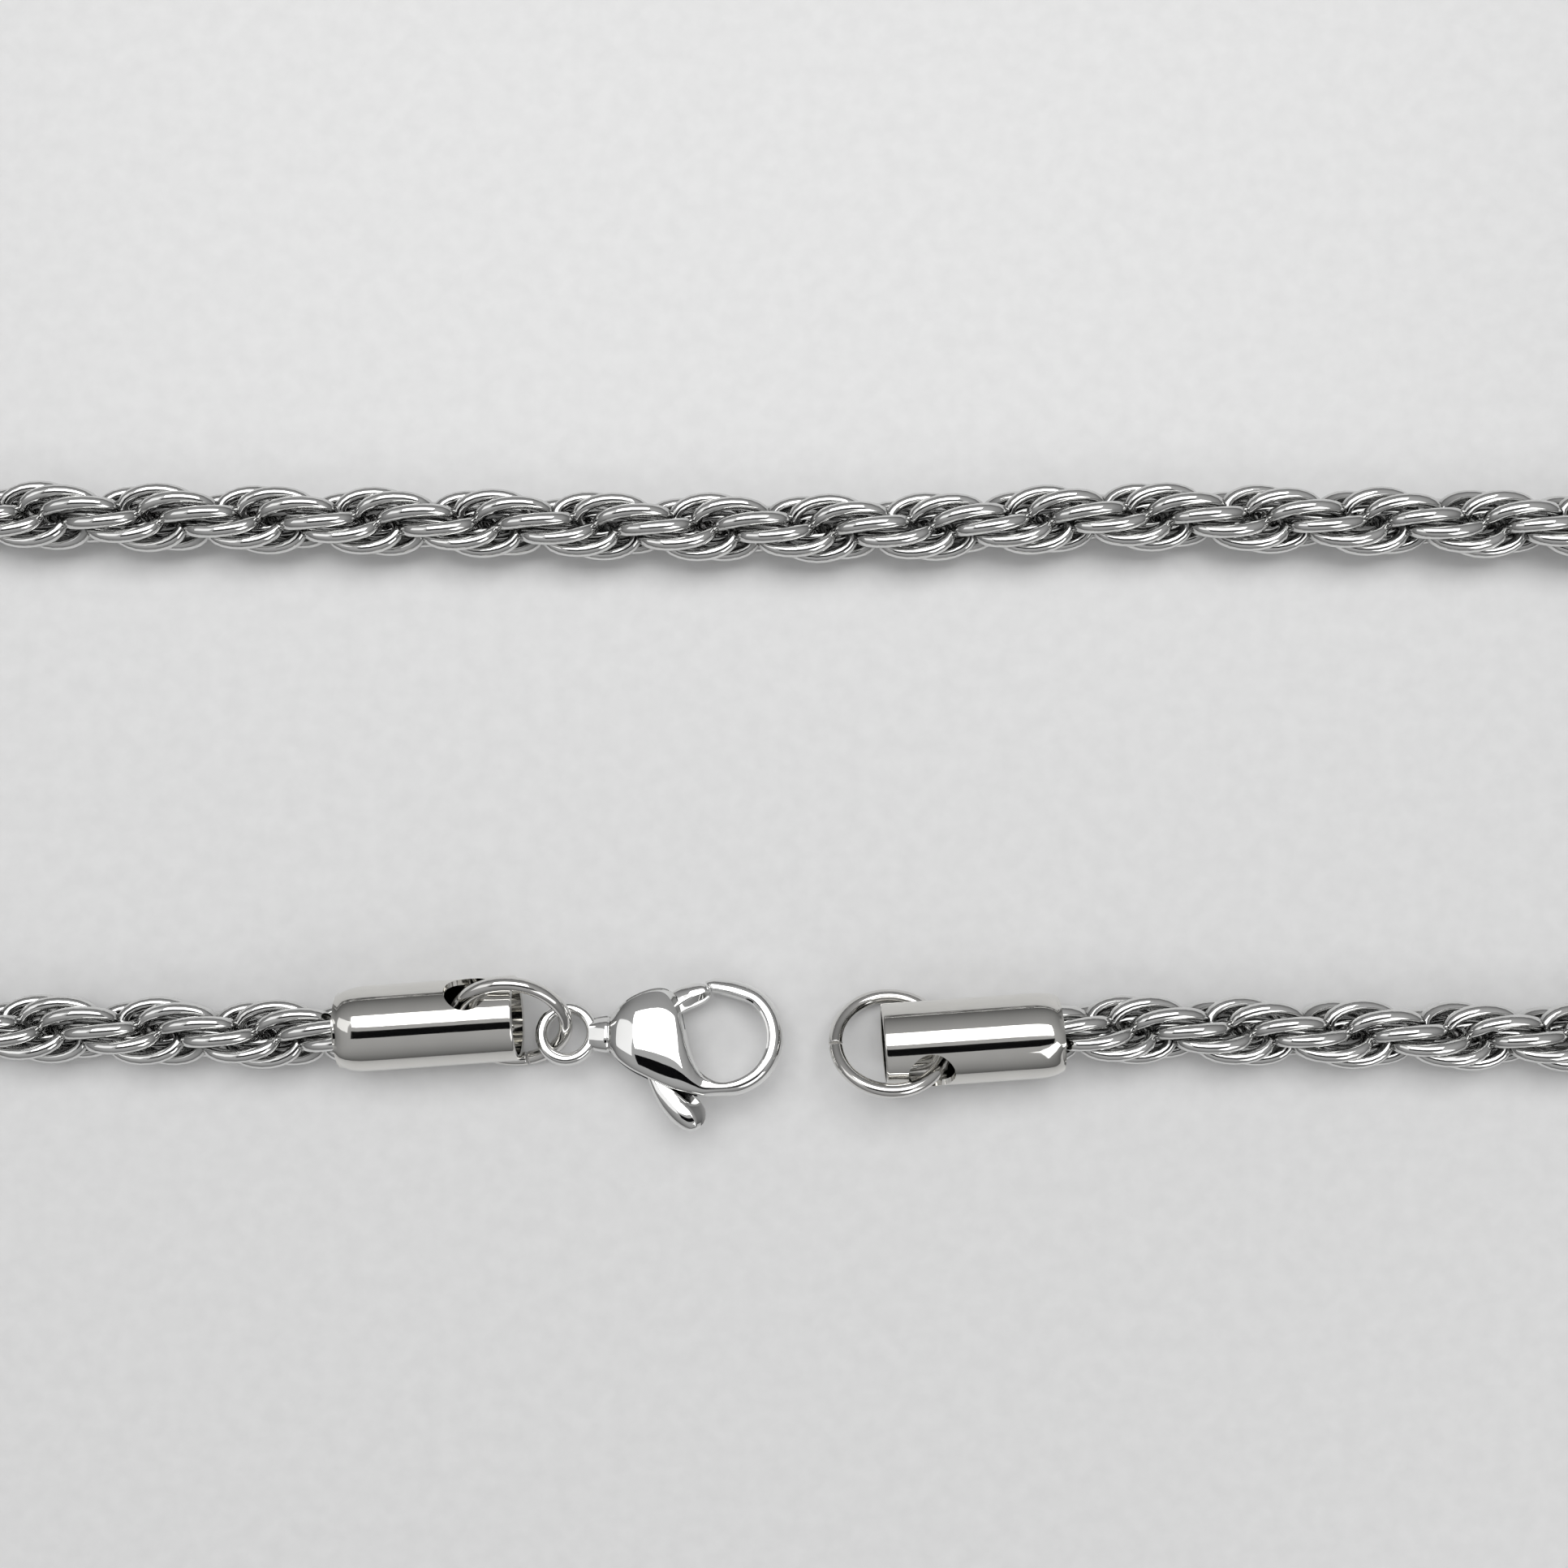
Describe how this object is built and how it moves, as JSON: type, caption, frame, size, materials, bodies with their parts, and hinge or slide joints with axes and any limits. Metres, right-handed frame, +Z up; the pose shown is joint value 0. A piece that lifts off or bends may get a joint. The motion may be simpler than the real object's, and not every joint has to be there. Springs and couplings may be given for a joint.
{
  "type": "chain necklace",
  "caption": "Twisted rope chain necklace with tube caps, a jump ring at each end and a lobster clasp with a sprung lever, laid out unfastened as a long loop.",
  "frame": {"origin": "on the table, under the middle of the laid-out loop's box", "axes": "+Z up from the table; +X along the loop's long side, from the clasp end towards the ring end; +Y from the run with the clasp towards the run without it"},
  "size_m": [0.238, 0.0376, 0.0049],
  "materials": {
    "rope_steel": "polished wire links",
    "cap_steel": "bright polished tube",
    "ring_steel": "bright polished wire",
    "clasp_steel": "tumble-polished casting",
    "pin_steel": "ground wire",
    "spring_steel": "cold-rolled strip"
  },
  "bodies": {
    "middle": {"chain_middle": "rope_steel"},
    "right_01": {"chain_right_01": "rope_steel"},
    "right_02": {"chain_right_02": "rope_steel"},
    "right_03": {"chain_right_03": "rope_steel"},
    "right_04": {"chain_right_04": "rope_steel"},
    "right_05": {"chain_right_05": "rope_steel"},
    "right_06": {"chain_right_06": "rope_steel"},
    "right_07": {"chain_right_07": "rope_steel"},
    "right_08": {"chain_right_08": "rope_steel"},
    "right_09": {"chain_right_09": "rope_steel"},
    "right_10": {"chain_right_10": "rope_steel"},
    "right_11": {"chain_right_11": "rope_steel"},
    "right_12": {"chain_right_12": "rope_steel"},
    "right_13": {"chain_right_13": "rope_steel"},
    "right_14": {"chain_right_14": "rope_steel"},
    "right_15": {"chain_right_15": "rope_steel"},
    "right_16": {"chain_right_16": "rope_steel"},
    "right_17": {"chain_right_17": "rope_steel"},
    "right_18": {"chain_right_18": "rope_steel"},
    "right_19": {"chain_right_19": "rope_steel"},
    "right_20": {"chain_right_20": "rope_steel", "end_cap_right": "cap_steel"},
    "left_01": {"chain_left_01": "rope_steel"},
    "left_02": {"chain_left_02": "rope_steel"},
    "left_03": {"chain_left_03": "rope_steel"},
    "left_04": {"chain_left_04": "rope_steel"},
    "left_05": {"chain_left_05": "rope_steel"},
    "left_06": {"chain_left_06": "rope_steel"},
    "left_07": {"chain_left_07": "rope_steel"},
    "left_08": {"chain_left_08": "rope_steel"},
    "left_09": {"chain_left_09": "rope_steel"},
    "left_10": {"chain_left_10": "rope_steel"},
    "left_11": {"chain_left_11": "rope_steel"},
    "left_12": {"chain_left_12": "rope_steel"},
    "left_13": {"chain_left_13": "rope_steel"},
    "left_14": {"chain_left_14": "rope_steel"},
    "left_15": {"chain_left_15": "rope_steel"},
    "left_16": {"chain_left_16": "rope_steel"},
    "left_17": {"chain_left_17": "rope_steel"},
    "left_18": {"chain_left_18": "rope_steel"},
    "left_19": {"chain_left_19": "rope_steel"},
    "left_20": {"chain_left_20": "rope_steel"},
    "left_21": {"chain_left_21": "rope_steel", "end_cap_left": "cap_steel"},
    "end_ring": {"end_ring": "ring_steel"},
    "clasp_ring": {"clasp_ring": "ring_steel"},
    "clasp": {"clasp_body": "clasp_steel", "lever_pin": "pin_steel", "lever_spring": "spring_steel"},
    "clasp_lever": {"clasp_lever": "clasp_steel"}
  },
  "joints": [
    {"name": "clasp_ring_swing", "type": "hinge", "parent": "left_21", "child": "clasp_ring", "pos_m": [-0.01404, -0.0129, 0.0025], "axis": [0, -0.766, -0.6428], "range_deg": [0, 25]},
    {"name": "clasp_swing", "type": "hinge", "parent": "clasp_ring", "child": "clasp", "pos_m": [-0.00802, -0.01371, 0.00182], "axis": [-0.342, -0.7198, -0.604], "range_deg": [0, 25]},
    {"name": "clasp_lever_press", "type": "hinge", "parent": "clasp", "child": "clasp_lever", "pos_m": [-0.00274, -0.01278, 0.00167], "axis": [0, -0.2588, -0.9659], "range_deg": [0, 22], "stiffness_Nm_per_rad": 0.004, "springref_deg": -11.46, "deforming": ["lever_spring"]},
    {"name": "end_ring_swing", "type": "hinge", "parent": "right_20", "child": "end_ring", "pos_m": [0.01356, -0.01405, 0.0025], "axis": [0, 0.766, -0.6428], "range_deg": [0, 20]},
    {"name": "rope_right_01_turn", "type": "hinge", "parent": "middle", "child": "right_01", "pos_m": [0.01166, 0.01505, 0.002], "axis": [0, 0, 1], "range_deg": [0, 45]},
    {"name": "rope_right_02_lift", "type": "hinge", "parent": "right_01", "child": "right_02", "pos_m": [0.02304, 0.01565, 0.002], "axis": [0.0175, 0.9998, 0], "range_deg": [-45, 0]},
    {"name": "rope_right_03_turn", "type": "hinge", "parent": "right_02", "child": "right_03", "pos_m": [0.03444, 0.01545, 0.002], "axis": [0, 0, -1], "range_deg": [-45, 0]},
    {"name": "rope_right_04_lift", "type": "hinge", "parent": "right_03", "child": "right_04", "pos_m": [0.04584, 0.01525, 0.002], "axis": [-0.0175, -0.9998, 0], "range_deg": [0, 45]},
    {"name": "rope_right_05_turn", "type": "hinge", "parent": "right_04", "child": "right_05", "pos_m": [0.05724, 0.01505, 0.002], "axis": [0, 0, 1], "range_deg": [0, 45]},
    {"name": "rope_right_06_lift", "type": "hinge", "parent": "right_05", "child": "right_06", "pos_m": [0.06864, 0.01485, 0.002], "axis": [0.0175, 0.9998, 0], "range_deg": [-45, 0]},
    {"name": "rope_right_07_turn", "type": "hinge", "parent": "right_06", "child": "right_07", "pos_m": [0.08004, 0.01465, 0.002], "axis": [0, 0, -1], "range_deg": [-45, 0]},
    {"name": "rope_right_08_lift", "type": "hinge", "parent": "right_07", "child": "right_08", "pos_m": [0.09143, 0.01445, 0.002], "axis": [-0.0175, -0.9998, 0], "range_deg": [0, 45]},
    {"name": "rope_right_09_turn", "type": "hinge", "parent": "right_08", "child": "right_09", "pos_m": [0.10283, 0.01425, 0.002], "axis": [0, 0, 1], "range_deg": [0, 45]},
    {"name": "rope_right_10_lift", "type": "hinge", "parent": "right_09", "child": "right_10", "pos_m": [0.11302, 0.00982, 0.002], "axis": [0.7193, 0.6947, 0], "range_deg": [-45, 0]},
    {"name": "rope_right_11_turn", "type": "hinge", "parent": "right_10", "child": "right_11", "pos_m": [0.11709, -0.00051, 0.002], "axis": [0, 0, -1], "range_deg": [-45, 0]},
    {"name": "rope_right_12_lift", "type": "hinge", "parent": "right_11", "child": "right_12", "pos_m": [0.11266, -0.0107, 0.002], "axis": [-0.6947, 0.7193, 0], "range_deg": [0, 45]},
    {"name": "rope_right_13_turn", "type": "hinge", "parent": "right_12", "child": "right_13", "pos_m": [0.10233, -0.01477, 0.002], "axis": [0, 0, 1], "range_deg": [0, 45]},
    {"name": "rope_right_14_lift", "type": "hinge", "parent": "right_13", "child": "right_14", "pos_m": [0.09093, -0.01457, 0.002], "axis": [-0.0175, -0.9998, 0], "range_deg": [-45, 0]},
    {"name": "rope_right_15_turn", "type": "hinge", "parent": "right_14", "child": "right_15", "pos_m": [0.07953, -0.01437, 0.002], "axis": [0, 0, -1], "range_deg": [-45, 0]},
    {"name": "rope_right_16_lift", "type": "hinge", "parent": "right_15", "child": "right_16", "pos_m": [0.06813, -0.01417, 0.002], "axis": [0.0175, 0.9998, 0], "range_deg": [0, 45]},
    {"name": "rope_right_17_turn", "type": "hinge", "parent": "right_16", "child": "right_17", "pos_m": [0.05673, -0.01398, 0.002], "axis": [0, 0, 1], "range_deg": [0, 45]},
    {"name": "rope_right_18_lift", "type": "hinge", "parent": "right_17", "child": "right_18", "pos_m": [0.04533, -0.01378, 0.002], "axis": [-0.0175, -0.9998, 0], "range_deg": [-45, 0]},
    {"name": "rope_right_19_turn", "type": "hinge", "parent": "right_18", "child": "right_19", "pos_m": [0.03394, -0.01358, 0.002], "axis": [0, 0, -1], "range_deg": [-45, 0]},
    {"name": "rope_right_20_lift", "type": "hinge", "parent": "right_19", "child": "right_20", "pos_m": [0.02254, -0.01338, 0.0022], "axis": [-0.0698, 0.9976, 0], "range_deg": [0, 45]},
    {"name": "rope_left_01_turn", "type": "hinge", "parent": "middle", "child": "left_01", "pos_m": [0.00026, 0.01505, 0.002], "axis": [0, 0, -1], "range_deg": [0, 45]},
    {"name": "rope_left_02_lift", "type": "hinge", "parent": "left_01", "child": "left_02", "pos_m": [-0.01114, 0.01525, 0.002], "axis": [-0.0175, -0.9998, 0], "range_deg": [-45, 0]},
    {"name": "rope_left_03_turn", "type": "hinge", "parent": "left_02", "child": "left_03", "pos_m": [-0.02254, 0.01545, 0.002], "axis": [0, 0, 1], "range_deg": [-45, 0]},
    {"name": "rope_left_04_lift", "type": "hinge", "parent": "left_03", "child": "left_04", "pos_m": [-0.03393, 0.01565, 0.002], "axis": [0.0175, 0.9998, 0], "range_deg": [0, 45]},
    {"name": "rope_left_05_turn", "type": "hinge", "parent": "left_04", "child": "left_05", "pos_m": [-0.04533, 0.01585, 0.002], "axis": [0, 0, -1], "range_deg": [0, 45]},
    {"name": "rope_left_06_lift", "type": "hinge", "parent": "left_05", "child": "left_06", "pos_m": [-0.05673, 0.01604, 0.002], "axis": [-0.0175, -0.9998, 0], "range_deg": [-45, 0]},
    {"name": "rope_left_07_turn", "type": "hinge", "parent": "left_06", "child": "left_07", "pos_m": [-0.06813, 0.01624, 0.002], "axis": [0, 0, 1], "range_deg": [-45, 0]},
    {"name": "rope_left_08_lift", "type": "hinge", "parent": "left_07", "child": "left_08", "pos_m": [-0.07953, 0.01644, 0.002], "axis": [0.0175, 0.9998, 0], "range_deg": [0, 45]},
    {"name": "rope_left_09_turn", "type": "hinge", "parent": "left_08", "child": "left_09", "pos_m": [-0.09093, 0.01664, 0.002], "axis": [0, 0, -1], "range_deg": [0, 45]},
    {"name": "rope_left_10_lift", "type": "hinge", "parent": "left_09", "child": "left_10", "pos_m": [-0.10232, 0.01684, 0.002], "axis": [-0.0175, -0.9998, 0], "range_deg": [-45, 0]},
    {"name": "rope_left_11_turn", "type": "hinge", "parent": "left_10", "child": "left_11", "pos_m": [-0.11266, 0.01277, 0.002], "axis": [0, 0, 1], "range_deg": [-45, 0]},
    {"name": "rope_left_12_lift", "type": "hinge", "parent": "left_11", "child": "left_12", "pos_m": [-0.11709, 0.00258, 0.002], "axis": [-0.9998, 0.0175, 0], "range_deg": [0, 45]},
    {"name": "rope_left_13_turn", "type": "hinge", "parent": "left_12", "child": "left_13", "pos_m": [-0.11302, -0.00775, 0.002], "axis": [0, 0, -1], "range_deg": [0, 45]},
    {"name": "rope_left_14_lift", "type": "hinge", "parent": "left_13", "child": "left_14", "pos_m": [-0.10283, -0.01218, 0.002], "axis": [0.0175, 0.9998, 0], "range_deg": [-45, 0]},
    {"name": "rope_left_15_turn", "type": "hinge", "parent": "left_14", "child": "left_15", "pos_m": [-0.09143, -0.01238, 0.002], "axis": [0, 0, 1], "range_deg": [-45, 0]},
    {"name": "rope_left_16_lift", "type": "hinge", "parent": "left_15", "child": "left_16", "pos_m": [-0.08003, -0.01258, 0.002], "axis": [-0.0175, -0.9998, 0], "range_deg": [0, 45]},
    {"name": "rope_left_17_turn", "type": "hinge", "parent": "left_16", "child": "left_17", "pos_m": [-0.06864, -0.01278, 0.002], "axis": [0, 0, -1], "range_deg": [0, 45]},
    {"name": "rope_left_18_lift", "type": "hinge", "parent": "left_17", "child": "left_18", "pos_m": [-0.05724, -0.01298, 0.002], "axis": [0.0175, 0.9998, 0], "range_deg": [-45, 0]},
    {"name": "rope_left_19_turn", "type": "hinge", "parent": "left_18", "child": "left_19", "pos_m": [-0.04584, -0.01318, 0.002], "axis": [0, 0, 1], "range_deg": [-45, 0]},
    {"name": "rope_left_20_lift", "type": "hinge", "parent": "left_19", "child": "left_20", "pos_m": [-0.03444, -0.01338, 0.002], "axis": [-0.0175, -0.9998, 0], "range_deg": [0, 45]},
    {"name": "rope_left_21_turn", "type": "hinge", "parent": "left_20", "child": "left_21", "pos_m": [-0.02304, -0.01358, 0.0022], "axis": [0, 0, -1], "range_deg": [0, 45]}
  ]
}
